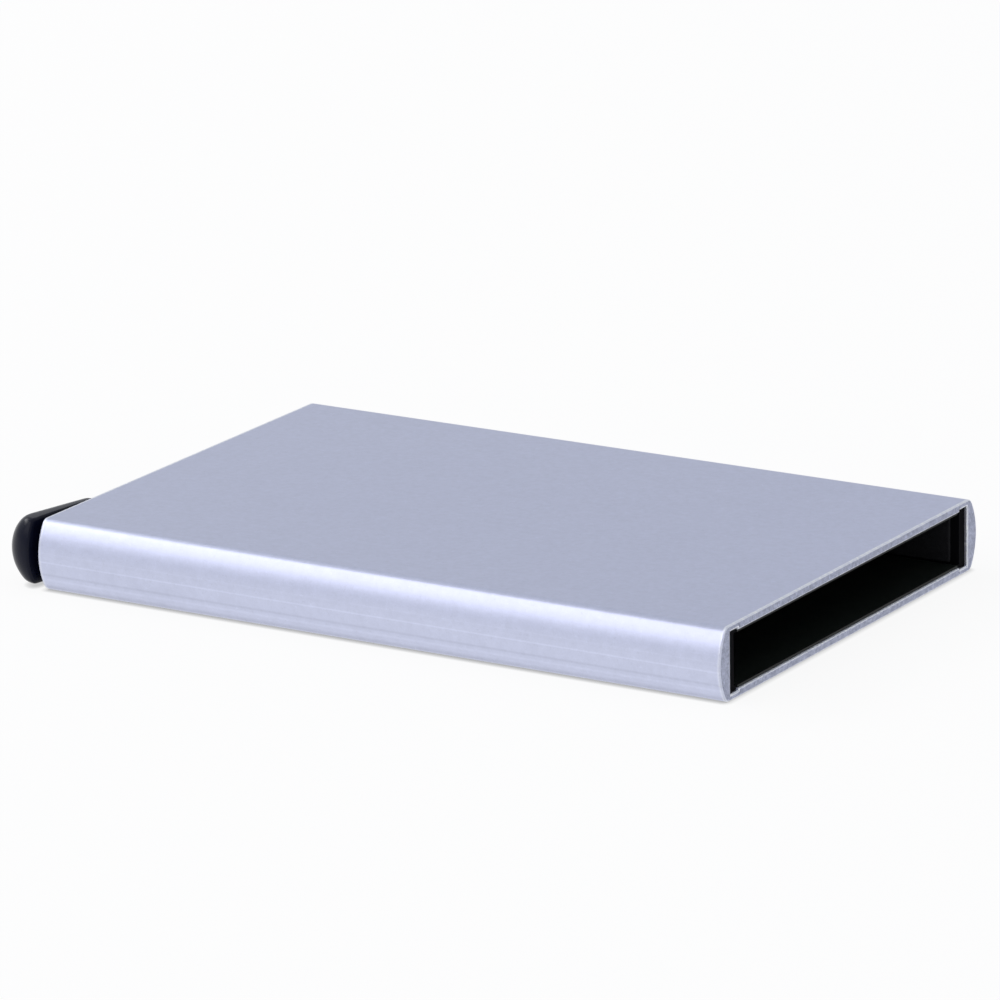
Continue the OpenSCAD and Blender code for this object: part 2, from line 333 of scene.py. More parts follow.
# %% Plastics, felt and steel
# How much lighter the clouds in a plastic are than its tone
CLOUD_LIGHTER = 1.35
FELT_TONES = (0.006, 0.006, 0.007), (0.022, 0.022, 0.025)
FELT_ROUGHNESS, FELT_SHEEN, FELT_SHINE, FELT_DEPTH = 0.95, 0.05, 0.1, 0.12
STEEL_TONES = (0.50, 0.51, 0.52), (0.60, 0.61, 0.62)
STEEL_ROUGHNESS, RING_DEPTH = (0.22, 0.35), 0.003


def black_plastic(name, tone, roughness, grain_depth, shine, ior=1.5):
    """Moulded plastic with a fine spark-eroded grain, its depth in mm."""
    material, tree, shader = new_material(name)
    vector = place_of(tree)
    grain = noise(tree, vector, scale=6.0, detail=3.0, roughness=0.6)
    cloud = noise(tree, vector, scale=0.25, detail=2.0)
    lighter = tuple(c * CLOUD_LIGHTER for c in tone)
    tree.links.new(blend(tree, cloud, tone, lighter), shader.inputs["Base Color"])
    tree.links.new(spread(tree, cloud, *roughness), shader.inputs["Roughness"])
    shader.inputs["Specular IOR Level"].default_value = shine
    shader.inputs["IOR"].default_value = ior
    tree.links.new(bump(tree, grain, grain_depth), shader.inputs["Normal"])
    return material


def felt():
    """Short black felt: a dull colour, deep relief and a faint sheen."""
    material, tree, shader = new_material("felt")
    pile = noise(tree, place_of(tree), scale=4.0, detail=6.0, roughness=0.75)
    tree.links.new(blend(tree, pile, *FELT_TONES), shader.inputs["Base Color"])
    shader.inputs["Roughness"].default_value = FELT_ROUGHNESS
    shader.inputs["Sheen Weight"].default_value = FELT_SHEEN
    shader.inputs["Specular IOR Level"].default_value = FELT_SHINE
    tree.links.new(bump(tree, pile, FELT_DEPTH), shader.inputs["Normal"])
    return material


def pin_steel():
    """Ground steel, with fine rings round the pin's axis."""
    material, tree, shader = new_material("ground_steel")
    rings = noise(tree, place_of(tree, stretch=(0.2, 0.2, 8.0)), scale=3.0)
    tree.links.new(blend(tree, rings, *STEEL_TONES), shader.inputs["Base Color"])
    shader.inputs["Metallic"].default_value = 1.0
    tree.links.new(spread(tree, rings, *STEEL_ROUGHNESS), shader.inputs["Roughness"])
    tree.links.new(bump(tree, rings, RING_DEPTH), shader.inputs["Normal"])
    return material


FRAME_PLASTIC = black_plastic("matt_black_plastic", (0.009, 0.009, 0.011), roughness=(0.5, 0.65),
                              grain_depth=0.008, shine=0.2)
LEVER_PLASTIC = black_plastic("polished_black_plastic", (0.003, 0.004, 0.012), roughness=(0.22, 0.28),
                              grain_depth=0.001, shine=0.3, ior=1.32)
RAIL_PLASTIC = black_plastic("rail_black_plastic", (0.003, 0.003, 0.004), roughness=(0.55, 0.7),
                             grain_depth=0.006, shine=0.1, ior=1.2)
LINER_FILM = black_plastic("liner_black_film", (0.008, 0.010, 0.009), roughness=(0.3, 0.4),
                           grain_depth=0.002, shine=0.2, ior=1.35)
PIN_STEEL = pin_steel()
FELT = felt()
for finish in (FRAME_PLASTIC, LEVER_PLASTIC, RAIL_PLASTIC, LINER_FILM, PIN_STEEL, FELT):
    print(finish.name, "nodes:", len(finish.node_tree.nodes))

# %% [markdown]
# ## The pieces that keep their plain solids
# Rails, liners and pin are straight pieces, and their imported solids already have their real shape. They
# only change their material. Every other piece below is modelled anew, in the place of its solid.

# %% Dress the plain pieces
def dress(material, *names):
    """Gives nodes of the frame a material, leaving their meshes as they are."""
    for name in names:
        piece = NODES[name]
        piece.data.materials.clear()
        piece.data.materials.append(material)
    print(material.name, "on", *names)


dress(PIN_STEEL, "pivot_pin")
dress(RAIL_PLASTIC, "guide_rail_near", "guide_rail_far")
dress(LINER_FILM, "face_liner_bottom", "face_liner_top")

# %% [markdown]
# ## Making a piece
# A piece that replaces a plain solid is a mesh in the model's frame, with its object at the origin. Its
# edges get the small radii that a mould or a deburring wheel leaves, because a sharp edge never catches
# light. After the last modifier the mesh is shaded smooth, except across its sharpest edges.

# %% Making a piece
# Two places are the same where they lie closer than this, in mm
SAME = 0.01


def mesh_piece(name, points, faces, material):
    """An object from points in millimetres and faces."""
    mesh = bpy.data.meshes.new(name)
    mesh.from_pydata([tuple(c * MM for c in p) for p in points], [], faces)
    mesh.materials.append(material)
    piece = bpy.data.objects.new(name, mesh)
    bpy.context.scene.collection.objects.link(piece)
    return piece


def bake(piece):
    """Turns a piece's modifiers into its plain mesh."""
    bpy.context.view_layer.update()
    graph = bpy.context.evaluated_depsgraph_get()
    mesh = bpy.data.meshes.new_from_object(piece.evaluated_get(graph))
    piece.modifiers.clear()
    piece.data = mesh


def smooth(piece, angle=35.0):
    """Smooth shading, apart from edges sharper than the angle in degrees."""
    mesh = piece.data
    mesh.polygons.foreach_set("use_smooth", [True] * len(mesh.polygons))
    mesh.set_sharp_from_angle(angle=math.radians(angle))


def edge_ends(piece):
    """The two ends of each edge, in millimetres."""
    points = piece.data.vertices
    return [[points[i].co / MM for i in edge.vertices] for edge in piece.data.edges]


def round_edges(piece, width, segments=3, weights=None, angle=35.0):
    """Rounds edges by a width in millimetres: all sharp ones, or those that the weights choose."""
    if weights is not None:
        layer = piece.data.attributes.new("bevel_weight_edge", "FLOAT", "EDGE")
        layer.data.foreach_set("value", weights)
    modifier = piece.modifiers.new("edges", "BEVEL")
    modifier.width = width * MM
    modifier.segments = segments
    modifier.limit_method = "ANGLE" if weights is None else "WEIGHT"
    modifier.angle_limit = math.radians(angle)
    modifier.use_clamp_overlap = weights is None
    bake(piece)


def hand_over(piece, body, slot_name, *nodes):
    """Seats a finished piece on its body, for the nodes that it stands for."""
    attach(piece, body)
    if nodes:
        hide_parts(*nodes)
    triangles = sum(len(p.vertices) - 2 for p in piece.data.polygons)
    print(piece.name, "triangles:", triangles)


def prism(outline, low, high):
    """Points and faces of a straight prism over an outline in X and Y, listed anticlockwise."""
    count = len(outline)
    points = [(x, y, low) for x, y in outline] + [(x, y, high) for x, y in outline]
    faces = [tuple(range(count))[::-1], tuple(range(count, 2 * count))]
    for i in range(count):
        j = (i + 1) % count
        faces.append((i, j, j + count, i + count))
    return points, faces

# %% [markdown]
# ## Node trees for shapes
# Geometry Nodes suit what a rule makes: a section that is pushed through a die, steps that differ by one
# amount, or thousands of fibres. Each tree names its sizes as inputs, and its result is turned into a
# plain mesh at once.

# %% Node trees for shapes
# Points closer than this are joined into one
WELD = 0.001 * MM


def shape_tree(name, sizes):
    """An empty shape tree with named number inputs and a material, as (tree, input node, output node)."""
    tree = bpy.data.node_groups.new(name, "GeometryNodeTree")
    tree.interface.new_socket(name="Geometry", in_out="INPUT", socket_type="NodeSocketGeometry")
    for size in sizes:
        tree.interface.new_socket(name=size, in_out="INPUT", socket_type="NodeSocketFloat")
    tree.interface.new_socket(name="Material", in_out="INPUT", socket_type="NodeSocketMaterial")
    tree.interface.new_socket(name="Geometry", in_out="OUTPUT", socket_type="NodeSocketGeometry")
    return tree, tree.nodes.new("NodeGroupInput"), tree.nodes.new("NodeGroupOutput")


def shape_node(tree, kind, links, **settings):
    """A node whose inputs are linked by name, or filled with plain values."""
    made = tree.nodes.new(kind)
    for key, value in settings.items():
        setattr(made, key, value)
    for key, value in links.items():
        socket = made.inputs[key]
        if isinstance(value, bpy.types.NodeSocket):
            tree.links.new(value, socket)
        else:
            socket.default_value = value
    return made


def number(tree, operation, first, second=0.0):
    """One sum in a shape tree."""
    return shape_node(tree, "ShaderNodeMath", {0: first, 1: second}, operation=operation).outputs[0]


def joined(tree, *geometries):
    """Several geometries as one."""
    made = shape_node(tree, "GeometryNodeJoinGeometry", {})
    for geometry in geometries:
        tree.links.new(geometry, made.inputs[0])
    return made.outputs[0]


def pushed_solid(tree, flat, axis, distance):
    """A closed solid from a flat mesh that is pushed along the axis X, Y or Z."""
    along = shape_node(tree, "ShaderNodeCombineXYZ", {axis: 1.0})
    pushed = shape_node(tree, "GeometryNodeExtrudeMesh",
                        {"Mesh": flat, "Offset": along.outputs[0], "Offset Scale": distance,
                         "Individual": False})
    start = shape_node(tree, "GeometryNodeFlipFaces", {"Mesh": flat})
    shell = joined(tree, pushed.outputs["Mesh"], start.outputs[0])
    welded = shape_node(tree, "GeometryNodeMergeByDistance", {"Geometry": shell, "Distance": WELD})
    return welded.outputs[0]


def end_tree(tree, geometry, inputs, output):
    """The two last nodes of each tree: real geometry, with its material set."""
    real = shape_node(tree, "GeometryNodeRealizeInstances", {"Geometry": geometry})
    last = shape_node(tree, "GeometryNodeSetMaterial",
                      {"Geometry": real.outputs[0], "Material": inputs.outputs["Material"]})
    tree.links.new(last.outputs[0], output.inputs["Geometry"])


def run_tree(piece, tree, material, values):
    """Runs a tree on a piece with the given sizes and keeps the result as its mesh."""
    modifier = piece.modifiers.new("shape", "NODES")
    modifier.node_group = tree
    for item in tree.interface.items_tree:
        if item.in_out == "INPUT" and item.name in values:
            modifier[item.identifier] = values[item.name]
        elif item.in_out == "INPUT" and item.name == "Material":
            modifier[item.identifier] = material
    bake(piece)

# %% [markdown]
# ## The tube
# The tube is an extrusion: one section, pushed through a die and sawn to length. So its section is drawn
# once, as a ring of four-sided faces between the outside and the bore, and a node tree pushes it along X.
# Both sides are arcs that meet the flat faces in a small radius, and the bore has a shallow groove in each
# corner. The cut ends are then broken by a small round, which draws the bright line along their edges.

# %% The tube's section
SIDE_BULGE, CREASE_R = 1.53, 1.1
GROOVE_W, GROOVE_D = 2.0, 0.25
# The outside has its points this far to either side of a groove's step
STEP_RUN = 0.05
SIDE_R = (MID_Z ** 2 + SIDE_BULGE ** 2) / (2 * SIDE_BULGE)
ARC_Y = TUBE_W / 2 - SIDE_R
CREASE_Y = ARC_Y + math.sqrt((SIDE_R - CREASE_R) ** 2 - (MID_Z - CREASE_R) ** 2)
GROOVE_Z = WALL_T - GROOVE_D
SIDE_POINTS, CREASE_POINTS = 72, 14


def side_outline():
    """The +Y side from the bottom to the top face, as (Y, Z): a small arc, the side's arc, a small arc."""
    tangent = math.asin((MID_Z - CREASE_R) / (SIDE_R - CREASE_R))
    turn = math.pi / 2 - tangent
    outline = []
    for i in range(CREASE_POINTS):
        angle = -math.pi / 2 + turn * i / CREASE_POINTS
        outline.append((CREASE_Y + CREASE_R * math.cos(angle), CREASE_R + CREASE_R * math.sin(angle)))
    for i in range(SIDE_POINTS + 1):
        angle = -tangent + 2 * tangent * i / SIDE_POINTS
        outline.append((ARC_Y + SIDE_R * math.cos(angle), MID_Z + SIDE_R * math.sin(angle)))
    mirrored = [(y, TUBE_T - z) for y, z in outline[:CREASE_POINTS]][::-1]
    return outline + mirrored


def section_ring():
    """Pairs of points, outside and bore, once round the section."""
    step_y = BORE_Y - GROOVE_W
    bottom = [((-step_y - STEP_RUN, 0.0), (-step_y, GROOVE_Z)),
              ((-step_y + STEP_RUN, 0.0), (-step_y, WALL_T)),
              ((step_y - STEP_RUN, 0.0), (step_y, WALL_T)),
              ((step_y + STEP_RUN, 0.0), (step_y, GROOVE_Z))]
    side = side_outline()
    rise = TUBE_T - 2 * GROOVE_Z
    right = [(p, (BORE_Y, GROOVE_Z + rise * i / (len(side) - 1))) for i, p in enumerate(side)]
    half = bottom + right
    other = [((-oy, TUBE_T - oz), (-iy, TUBE_T - iz)) for (oy, oz), (iy, iz) in half]
    return half + other


print("points round the section:", len(section_ring()))

# %% The extruded tube
START = -TUBE_L / 2
END_ROUND = 0.2


def die_tree():
    """Pushes a flat section along X into a closed tube."""
    tree, inputs, output = shape_tree("push_through_die", ["Length"])
    tube = pushed_solid(tree, inputs.outputs["Geometry"], "X", inputs.outputs["Length"])
    end_tree(tree, tube, inputs, output)
    return tree


def in_bore(point):
    """Whether a point lies on the bore and not on the outside."""
    in_height = GROOVE_Z - SAME < point.z < TUBE_T - GROOVE_Z + SAME
    return abs(point.y) < BORE_Y + SAME and in_height


def make_tube():
    """The extruded tube, with rounded rims."""
    ring = section_ring()
    count = len(ring)
    points = [(START, y, z) for (y, z), _ in ring] + [(START, y, z) for _, (y, z) in ring]
    faces = [(i, (i + 1) % count, (i + 1) % count + count, i + count) for i in range(count)]
    piece = mesh_piece("extruded_tube", points, faces, TUBE_METAL)
    run_tree(piece, die_tree(), TUBE_METAL, {"Length": TUBE_L * MM})
    rims = []
    for a, b in edge_ends(piece):
        at_end = abs(abs(a.x) + START) < SAME and abs(a.x - b.x) < SAME
        rims.append(1.0 if at_end and in_bore(a) == in_bore(b) else 0.0)
    round_edges(piece, END_ROUND, segments=4, weights=rims)
    smooth(piece, angle=30.0)
    hand_over(piece, "holder", "tube_metal", "body_tube")


make_tube()

# %% [markdown]
# ## The lever's pad
# The pad is what the thumb pushes. Its outer face leans over a rounded nose, follows the tube's bulging
# side at the corner and runs on as a lower tail across the tube's open end. It is built as levels of one
# outline: on each level the nose draws the outline back, less at the side than at the front. Where the
# side and the gap meet, the outline turns in a curve, and the top and bottom levels shrink a little, so
# the moulded edges are rolled and need no bevel.

# %% The lever's sizes
PIVOT_IN = PIVOT[0] - START
PAD_LOW, PAD_BELOW_TOP = 0.45, 0.25
PAD_HIGH = TUBE_T - PAD_BELOW_TOP
PAD_REACH, PAD_SLOPE, PAD_CORNER_R = 5.8, math.radians(13.5), 4.1
NOSE_D, TAIL_NOSE_D = 3.4, 1.4
# The pad's gap to the tube at the corner and at its far end, and the thickness of its far end
PAD_GAP_NEAR, PAD_GAP_FAR, PAD_LAND = 1.4, 0.2, 0.2
# The turn at which the pad's far end would meet the tube's end
STOP_ANGLE = math.radians(28.5)
ARM_LOW = 1.7
ARM_HIGH = TUBE_T - ARM_LOW
ARM_W, ARM_FRONT = 5.0, 8.3
ARM_BACK = ARM_FRONT - ARM_W
NECK_GAP = 0.3
NECK_Y = NECK_GAP - BORE_Y
PAD_CENTRE = (PAD_CORNER_R - PAD_REACH, PAD_CORNER_R - TUBE_W / 2)
PAD_TOUCH = (PAD_CENTRE[0] - PAD_CORNER_R * math.cos(PAD_SLOPE),
             PAD_CENTRE[1] + PAD_CORNER_R * math.sin(PAD_SLOPE))
STOP_X = (PIVOT_IN + PAD_GAP_FAR) * math.cos(STOP_ANGLE) - PIVOT_IN
PAD_END = PIVOT[1] + STOP_X / math.sin(STOP_ANGLE)
TAIL_END = PAD_TOUCH[1] - (PAD_TOUCH[0] + PAD_LAND) / math.tan(PAD_SLOPE)
print("the pad ends at Y, mm:", round(PAD_END, 2), "and its tail at:", round(TAIL_END, 2))

# %% Rules for the pad's outline
# The rolled edges: the radii along the gap and along the side, and the run of the back corner
ROLL_R, SIDE_ROLL, ROLL_RUN = 0.3, 1.1, 0.9
LEVELS, CORNER_POINTS, FACE_POINTS, ROLL_POINTS = 40, 32, 8, 6


def face_x(y):
    """Where the pad's outer face lies along X, counted from the tube's end."""
    return PAD_TOUCH[0] + (y - PAD_TOUCH[1]) * math.tan(PAD_SLOPE)


def nose_in(angle, depth):
    """How far the nose lies inside its foremost line, for an angle from -90 to 90 degrees."""
    return depth * (1.0 - math.cos(angle))


def edge_in(height):
    """How far the rolled edge draws the outline in, at a height from the pad's top or underside."""
    depth = min(max(ROLL_R - height, 0.0), ROLL_R)
    return ROLL_R - math.sqrt(ROLL_R ** 2 - depth ** 2)


def side_in(z):
    """How far the pad's side lies inside its widest line: the tube's bulge, with rolled edges."""
    end = PAD_HIGH if z > MID_Z else PAD_LOW
    centre = end - math.copysign(SIDE_ROLL, end - MID_Z)
    rise = abs(centre - MID_Z)
    inner = SIDE_R - SIDE_ROLL
    if abs(z - MID_Z) < rise * SIDE_R / inner:
        return SIDE_R - math.sqrt(SIDE_R ** 2 - (z - MID_Z) ** 2)
    roll = math.sqrt(max(SIDE_ROLL ** 2 - (z - centre) ** 2, 0.0))
    return SIDE_R - math.sqrt(inner ** 2 - rise ** 2) - roll


def back_corner(side, edge, z):
    """The curve from the gap to the side, so that no hard line shows there."""
    corner = Vector((-PAD_GAP_NEAR - edge, side - TUBE_W / 2, z))
    behind = Vector((-PAD_GAP_FAR, PAD_END, z))
    start = corner + (behind - corner).normalized() * ROLL_RUN
    finish = Vector((PAD_CENTRE[0], side - TUBE_W / 2, z))
    curve = []
    for i in range(ROLL_POINTS):
        t = i / ROLL_POINTS
        curve.append(tuple(start * (1 - t) ** 2 + corner * 2 * t * (1 - t) + finish * t ** 2))
    return curve


def pad_ring(angle):
    """The pad's outline at one level, clockwise from above."""
    z = (PAD_LOW + PAD_HIGH) / 2 + math.sin(angle) * (PAD_HIGH - PAD_LOW) / 2
    side = side_in(z)
    nose = nose_in(angle, NOSE_D)
    ring = back_corner(side, edge_in(min(z - PAD_LOW, PAD_HIGH - z)), z)
    for i in range(CORNER_POINTS + 1):
        share = i / CORNER_POINTS
        turn = math.radians(270) - share * (math.radians(90) + PAD_SLOPE)
        reach = PAD_CORNER_R - side - (nose - side) * share * share * (3 - 2 * share)
        ring.append((PAD_CENTRE[0] + reach * math.cos(turn), PAD_CENTRE[1] + reach * math.sin(turn), z))
    touch_y = ring[-1][1]
    for i in range(1, FACE_POINTS + 1):
        y = touch_y + (PAD_END - touch_y) * i / FACE_POINTS
        ring.append((min(face_x(y) + nose / math.cos(PAD_SLOPE), -PAD_GAP_FAR - PAD_LAND), y, z))
    ring.append((-PAD_GAP_FAR, PAD_END, z))
    return ring


def tail_ring(angle):
    """The lower tail's outline at one level, clockwise from above."""
    z = MID_Z + math.sin(angle) * (ARM_HIGH - ARM_LOW) / 2
    inset = (PAD_LAND + nose_in(angle, TAIL_NOSE_D)) / math.cos(PAD_SLOPE)
    edge = edge_in(min(z - ARM_LOW, ARM_HIGH - z))
    near, far = NECK_Y + PAD_CORNER_R + edge, TAIL_END - edge
    ring = [(ARM_BACK - edge, near, z)]
    for i in range(FACE_POINTS + 1):
        y = near + (far - near) * i / FACE_POINTS
        ring.append((face_x(y) + inset, y, z))
    ring.append((ARM_BACK - edge, far, z))
    return ring


print("points on one level of the pad:", len(pad_ring(0.0)))

# %% The lever's pad and tail
def make_stack(name, ring_at, *nodes):
    """A closed piece from one ring at each level of a nose, for the nodes that it stands for."""
    rings = [ring_at(math.radians(180 * k / LEVELS - 90)) for k in range(LEVELS + 1)]
    count = len(rings[0])
    points = [(x + START, y, z) for ring in rings for x, y, z in ring]
    faces = [tuple(range(count)), tuple(range(len(points) - count, len(points)))[::-1]]
    for k in range(LEVELS):
        for i in range(count):
            j = (i + 1) % count
            faces.append((k * count + i, (k + 1) * count + i, (k + 1) * count + j, k * count + j))
    piece = mesh_piece(name, points, faces, LEVER_PLASTIC)
    smooth(piece, angle=50.0)
    hand_over(piece, "ejector", "lever_plastic", *nodes)


make_stack("lever_pad", pad_ring, "lever")
make_stack("lever_tail", tail_ring)

# %% [markdown]
# ## The lever's arm
# Inside the tube an arm of six steps sweeps behind the stack. A longer step pushes what it meets further
# out, so the stack fans open. Every step is shorter than the one below by the same amount, so a node tree
# works out the staircase from its point numbers, fills it and pushes it to the arm's width. The pushing
# corners have a large radius, because the cards slide on them. A hub turns on the pin, and arm and neck
# end inside the hub's wall, where a boolean cuts them off in a round.

# %% The staircase
STEP_COUNT, ARM_SHORT, TOE_R = 6, 9.5, 1.2
# What lies between the longest step and the bore's far side: the frame's post and the step's clearance
FAR_POST_W, TIP_GAP = 5.1, 2.1
ARM_LONG = BORE_Y - FAR_POST_W - TIP_GAP - PIVOT[1]
# The small radius that the mould leaves on edges
EDGE_R = 0.12


def staircase_tree():
    """Points of a staircase by their index, filled and pushed to a width."""
    tree, inputs, output = shape_tree("staircase", ["Steps", "Long", "Shorter by", "Rise", "Width"])
    sizes = inputs.outputs
    corners = number(tree, "MULTIPLY", sizes["Steps"], 2.0)
    total = number(tree, "ADD", corners, 2.0)
    line = shape_node(tree, "GeometryNodeMeshLine", {"Count": total})
    index = tree.nodes.new("GeometryNodeInputIndex").outputs[0]
    on_stairs = number(tree, "LESS_THAN", index, corners)
    before_last = number(tree, "LESS_THAN", index, number(tree, "ADD", corners, 0.5))
    step = number(tree, "FLOOR", number(tree, "MULTIPLY", index, 0.5))
    level = number(tree, "FLOOR", number(tree, "MULTIPLY", number(tree, "ADD", index, 1.0), 0.5))
    back = number(tree, "MULTIPLY", step, sizes["Shorter by"])
    x = number(tree, "MULTIPLY", number(tree, "SUBTRACT", sizes["Long"], back), on_stairs)
    y = number(tree, "MULTIPLY", number(tree, "MULTIPLY", level, sizes["Rise"]), before_last)
    place = shape_node(tree, "ShaderNodeCombineXYZ", {"X": x, "Y": y})
    placed = shape_node(tree, "GeometryNodeSetPosition",
                        {"Geometry": line.outputs[0], "Position": place.outputs[0]})
    curve = shape_node(tree, "GeometryNodeMeshToCurve", {"Mesh": placed.outputs[0]})
    loop = shape_node(tree, "GeometryNodeSetSplineCyclic", {"Geometry": curve.outputs[0], "Cyclic": True})
    filled = shape_node(tree, "GeometryNodeFillCurve", {"Curve": loop.outputs[0]}, mode="NGONS")
    end_tree(tree, pushed_solid(tree, filled.outputs[0], "Z", sizes["Width"]), inputs, output)
    return tree


print("reach of the longest step, mm:", round(ARM_LONG, 2))

# %% Round the pin
HUB_R, HUB_BORE_R = 2.9, 0.8
TURN_POINTS = 64


def round_pin(radius):
    """Points on a circle about the pin's axis, anticlockwise, as (X, Y)."""
    angles = [2 * math.pi * i / TURN_POINTS for i in range(TURN_POINTS)]
    return [(PIVOT[0] + radius * math.cos(a), PIVOT[1] + radius * math.sin(a)) for a in angles]


def clear_of_pin(piece):
    """Ends a piece inside the hub's wall, so that only the hub runs on the pin."""
    circle = round_pin((HUB_BORE_R + HUB_R) / 2)
    cutter = mesh_piece("pin_way", *prism(circle, 0.0, TUBE_T), LEVER_PLASTIC)
    cut = piece.modifiers.new("pin_way", "BOOLEAN")
    cut.operation = "DIFFERENCE"
    cut.object = cutter
    bake(piece)
    bpy.data.objects.remove(cutter)


print("the hub's wall, mm:", round(HUB_R - HUB_BORE_R, 2))

# %% The arm, the hub and the neck
# The rounding of the hub's rims and the neck's edges
SOFT_EDGE = 0.25
# How far the neck reaches into the tube and into the pad
WEB_X, NECK_IN = 5.3, 1.5


def toe_weights(piece):
    """The share of the toe's radius that each edge gets: all of it on the pushing corners."""
    weights = []
    for a, b in edge_ends(piece):
        upright = abs(a.x - b.x) < SAME and abs(a.y - b.y) < SAME
        in_front = abs(a.x - START - ARM_FRONT) < SAME and a.y > PIVOT[1] + SAME
        weights.append(1.0 if upright and in_front else EDGE_R / TOE_R)
    return weights


def make_arm():
    """The stepped arm, seated beside the pivot."""
    piece = mesh_piece("lever_arm", [(0.0, 0.0, 0.0)], [], LEVER_PLASTIC)
    run_tree(piece, staircase_tree(), LEVER_PLASTIC, {
        "Steps": float(STEP_COUNT),
        "Long": ARM_LONG * MM,
        "Shorter by": (ARM_LONG - ARM_SHORT) / (STEP_COUNT - 1) * MM,
        "Rise": (ARM_HIGH - ARM_LOW) / STEP_COUNT * MM,
        "Width": ARM_W * MM,
    })
    turn = Matrix(((0, 0, 1), (1, 0, 0), (0, 1, 0))).to_4x4()
    seat = Vector((START + ARM_BACK, PIVOT[1], ARM_LOW)) * MM
    piece.data.transform(Matrix.Translation(seat) @ turn)
    round_edges(piece, TOE_R, segments=4, weights=toe_weights(piece))
    clear_of_pin(piece)
    smooth(piece, angle=40.0)
    hand_over(piece, "ejector", "lever_plastic")


def make_hub():
    """The hub that turns on the pin, as a ring with softened rims."""
    inner, outer = HUB_BORE_R + SOFT_EDGE, HUB_R - SOFT_EDGE
    low, high = ARM_LOW + SOFT_EDGE, ARM_HIGH - SOFT_EDGE
    profile = [(HUB_BORE_R, low), (inner, ARM_LOW), (outer, ARM_LOW), (HUB_R, low),
               (HUB_R, high), (outer, ARM_HIGH), (inner, ARM_HIGH), (HUB_BORE_R, high)]
    count = len(profile)
    circles = [[(x, y, z) for x, y in round_pin(radius)] for radius, z in profile]
    points = [point for spoke in zip(*circles) for point in spoke]
    faces = []
    for i in range(TURN_POINTS):
        j = (i + 1) % TURN_POINTS
        for k in range(count):
            m = (k + 1) % count
            faces.append((i * count + k, j * count + k, j * count + m, i * count + m))
    piece = mesh_piece("lever_hub", points, faces, LEVER_PLASTIC)
    smooth(piece, angle=30.0)
    hand_over(piece, "ejector", "lever_plastic")


def make_neck():
    """The web that joins the pad to the hub, past the tube's end."""
    x0, x1 = START - PAD_GAP_NEAR - NECK_IN, START + WEB_X
    outline = [(x0, NECK_Y), (x1, NECK_Y), (x1, PIVOT[1]), (x0, PIVOT[1])]
    piece = mesh_piece("lever_neck", *prism(outline, ARM_LOW, ARM_HIGH), LEVER_PLASTIC)
    round_edges(piece, SOFT_EDGE)
    clear_of_pin(piece)
    smooth(piece)
    hand_over(piece, "ejector", "lever_plastic")


make_arm()
make_hub()
make_neck()

# %% [markdown]
# ## Felt strips
# Two strips of felt press on the cards' edges, so that the stack can't fall out. Felt is known by its
# pile, so a node tree scatters short leaning fibres over a core that is thinner than the strip by their
# length. Hair curves would look alike, but an export takes meshes alone.

# %% Felt strips
PILE, FIBRE_R = 0.18, 0.035
FIBRES_PER_MM2 = 14.0
# How far a fibre leans either way, and how far it may turn, in radians
LEAN, TURN = 0.7, 6.28
SCATTER_SEED, LEAN_SEED = 7, 11
# A face counts as open unless it looks this squarely at the rail
GLUED = -0.5


def pile_tree():
    """Fibres scattered over a core, each leaning its own way, with none on the face at the rail."""
    tree, inputs, output = shape_tree("pile", ["Density", "Fibre length", "Fibre radius", "Open side"])
    core = inputs.outputs["Geometry"]
    normal = tree.nodes.new("GeometryNodeInputNormal").outputs[0]
    apart = shape_node(tree, "ShaderNodeSeparateXYZ", {"Vector": normal})
    outwards = number(tree, "MULTIPLY", apart.outputs["Y"], inputs.outputs["Open side"])
    is_open = number(tree, "GREATER_THAN", outwards, GLUED)
    scattered = shape_node(tree, "GeometryNodeDistributePointsOnFaces",
                           {"Mesh": core, "Selection": is_open,
                            "Density": inputs.outputs["Density"], "Seed": SCATTER_SEED})
    fibre = shape_node(tree, "GeometryNodeMeshCone",
                       {"Vertices": 3, "Side Segments": 1, "Radius Top": 0.0,
                        "Radius Bottom": inputs.outputs["Fibre radius"],
                        "Depth": inputs.outputs["Fibre length"]}, fill_type="NGON")
    lean = shape_node(tree, "FunctionNodeRandomValue",
                      {0: (-LEAN, -LEAN, 0.0), 1: (LEAN, LEAN, TURN), "Seed": LEAN_SEED},
                      data_type="FLOAT_VECTOR")
    turn = shape_node(tree, "FunctionNodeEulerToRotation", {"Euler": lean.outputs[0]})
    leaning = shape_node(tree, "FunctionNodeRotateRotation",
                         {"Rotation": scattered.outputs["Rotation"], "Rotate By": turn.outputs[0]},
                         rotation_space="LOCAL")
    placed = shape_node(tree, "GeometryNodeInstanceOnPoints",
                        {"Points": scattered.outputs["Points"], "Instance": fibre.outputs["Mesh"],
                         "Rotation": leaning.outputs[0]})
    end_tree(tree, joined(tree, core, placed.outputs[0]), inputs, output)
    return tree


def make_felt(name, new_name, open_side, tree):
    """One felt strip in place of its plain solid, open towards +Y for 1 and towards -Y for -1."""
    low, high = (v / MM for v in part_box(name))
    y0, y1 = (low.y, high.y - PILE) if open_side > 0 else (low.y + PILE, high.y)
    x0, x1 = low.x + PILE, high.x - PILE
    outline = [(x0, y0), (x1, y0), (x1, y1), (x0, y1)]
    piece = mesh_piece(new_name, *prism(outline, low.z + PILE, high.z - PILE), FELT)
    run_tree(piece, tree, FELT, {
        "Density": FIBRES_PER_MM2 / MM ** 2,
        "Fibre length": PILE * MM,
        "Fibre radius": FIBRE_R * MM,
        "Open side": open_side,
    })
    hand_over(piece, "holder", "strip_felt", name)


PILE_TREE = pile_tree()
make_felt("friction_strip_near", "felt_strip_near", 1.0, PILE_TREE)
make_felt("friction_strip_far", "felt_strip_far", -1.0, PILE_TREE)

